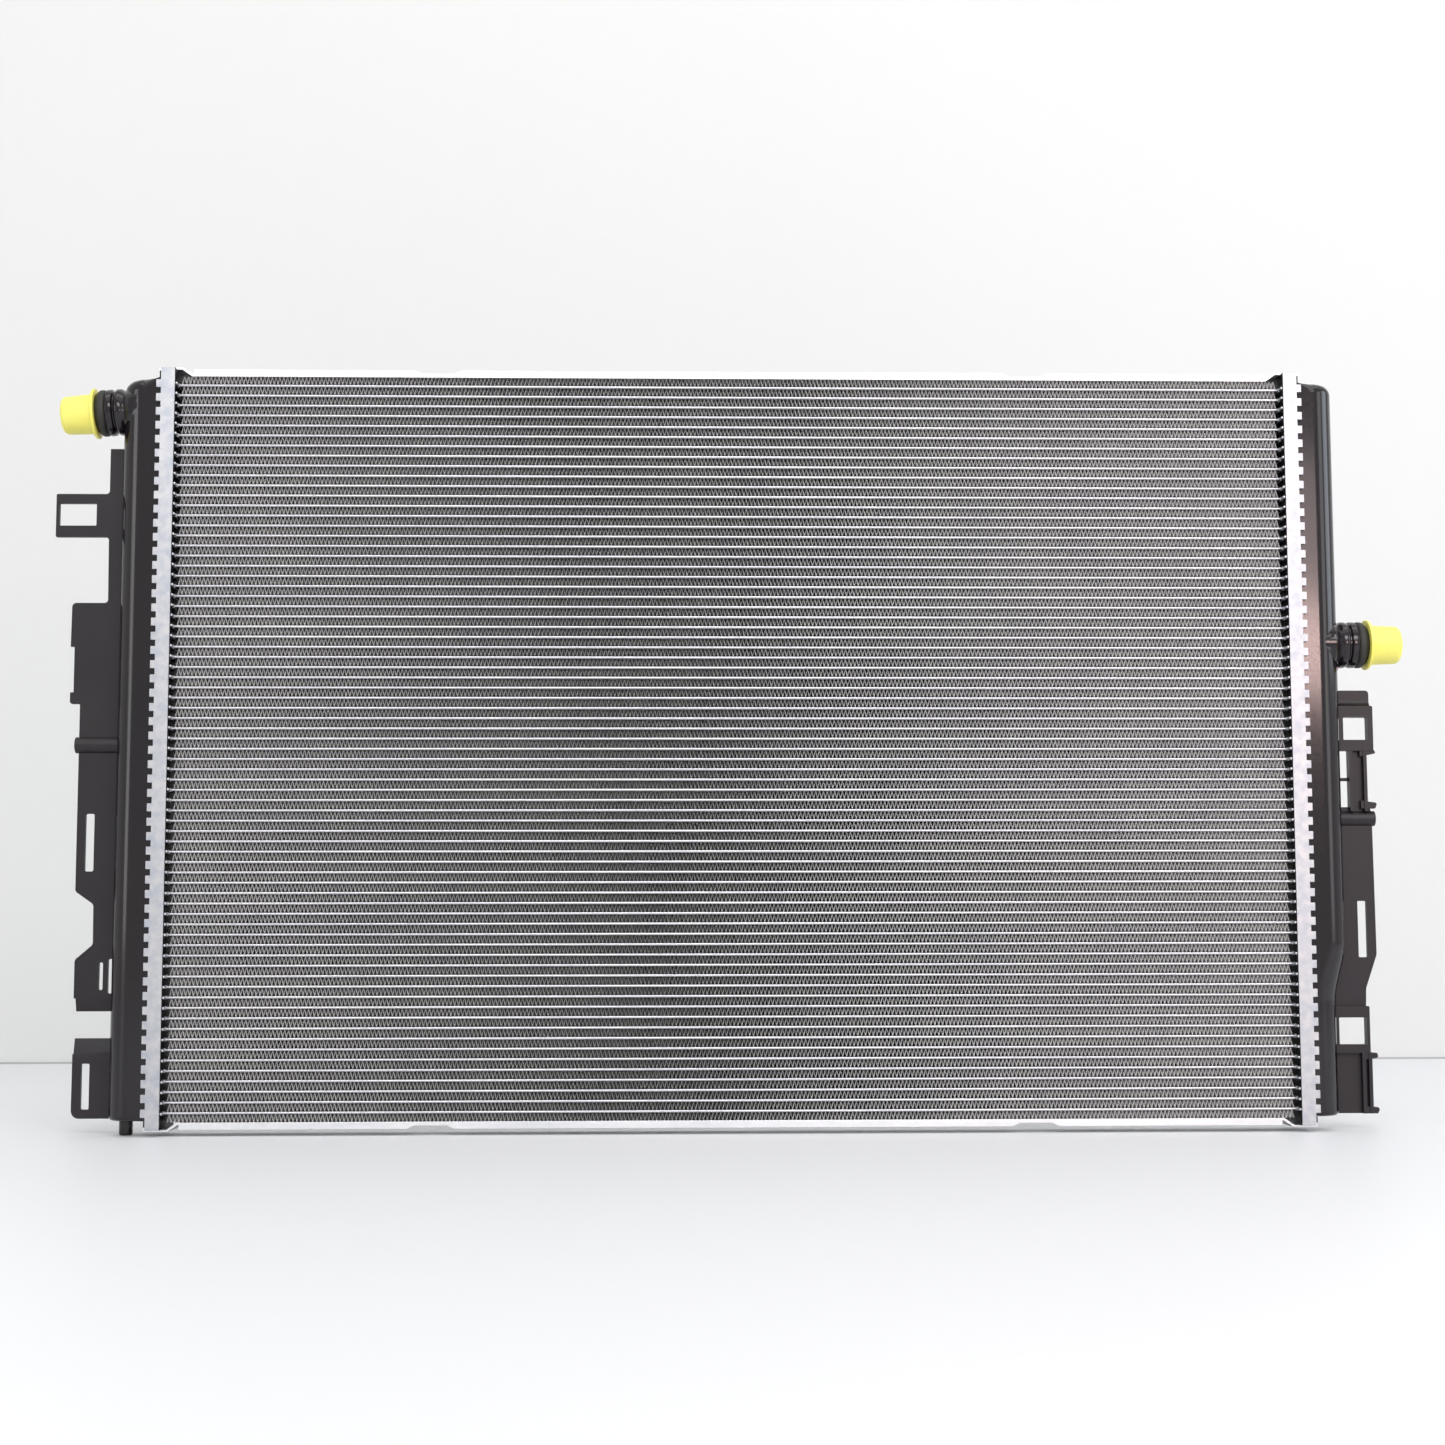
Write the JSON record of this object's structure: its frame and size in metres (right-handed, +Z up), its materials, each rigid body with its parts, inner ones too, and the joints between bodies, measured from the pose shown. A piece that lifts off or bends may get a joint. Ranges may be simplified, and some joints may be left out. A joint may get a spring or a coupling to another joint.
{
  "type": "car radiator",
  "caption": "Crossflow car radiator: brazed aluminium tube-and-fin core between crimped plastic end tanks with bracket plates and capped hose spigots.",
  "frame": {"origin": "centre of the bounding box in X and Y, at the lowest point of the locating peg under the left tank", "axes": "+X across the core to the right as seen from the front, +Y from the front face to the back, +Z up"},
  "size_m": [0.8022, 0.0388, 0.4498],
  "materials": {
    "tank": "black glass-filled nylon, moulded, satin gloss",
    "bracket": "charcoal glass-filled nylon with a fine matt texture",
    "header": "brazed aluminium with faint flux mottling",
    "side_plate": "rolled aluminium sheet, satin",
    "tube": "bright drawn aluminium",
    "fin": "thin rolled sheet, slightly dull after brazing",
    "gasket": "black rubber",
    "seal": "matt black rubber",
    "cap": "soft yellow polyethylene, slightly waxy"
  },
  "bodies": {
    "root": {"left_tank": "tank", "right_tank": "tank", "left_bracket": "bracket", "right_bracket": "bracket", "left_header": "header", "right_header": "header", "left_gasket": "gasket", "right_gasket": "gasket", "top_side_plate": "side_plate", "bottom_side_plate": "side_plate", "left_spigot_seal": "seal", "right_spigot_seal": "seal", "tube_bank_1": "tube", "tube_bank_2": "tube", "tube_bank_3": "tube", "tube_bank_4": "tube", "tube_bank_5": "tube", "tube_bank_6": "tube", "fin_bank_1": "fin", "fin_bank_2": "fin", "fin_bank_3": "fin", "fin_bank_4": "fin", "fin_bank_5": "fin", "fin_bank_6": "fin"},
    "left_cap": {"left_cap": "cap"},
    "right_cap": {"right_cap": "cap"}
  },
  "joints": [
    {"name": "left_cap_slide", "type": "slide", "parent": "root", "child": "left_cap", "axis": [-0.9976, 0, -0.0698], "range_m": [0, 0.04]},
    {"name": "right_cap_slide", "type": "slide", "parent": "root", "child": "right_cap", "axis": [1, 0, 0], "range_m": [0, 0.04]}
  ]
}
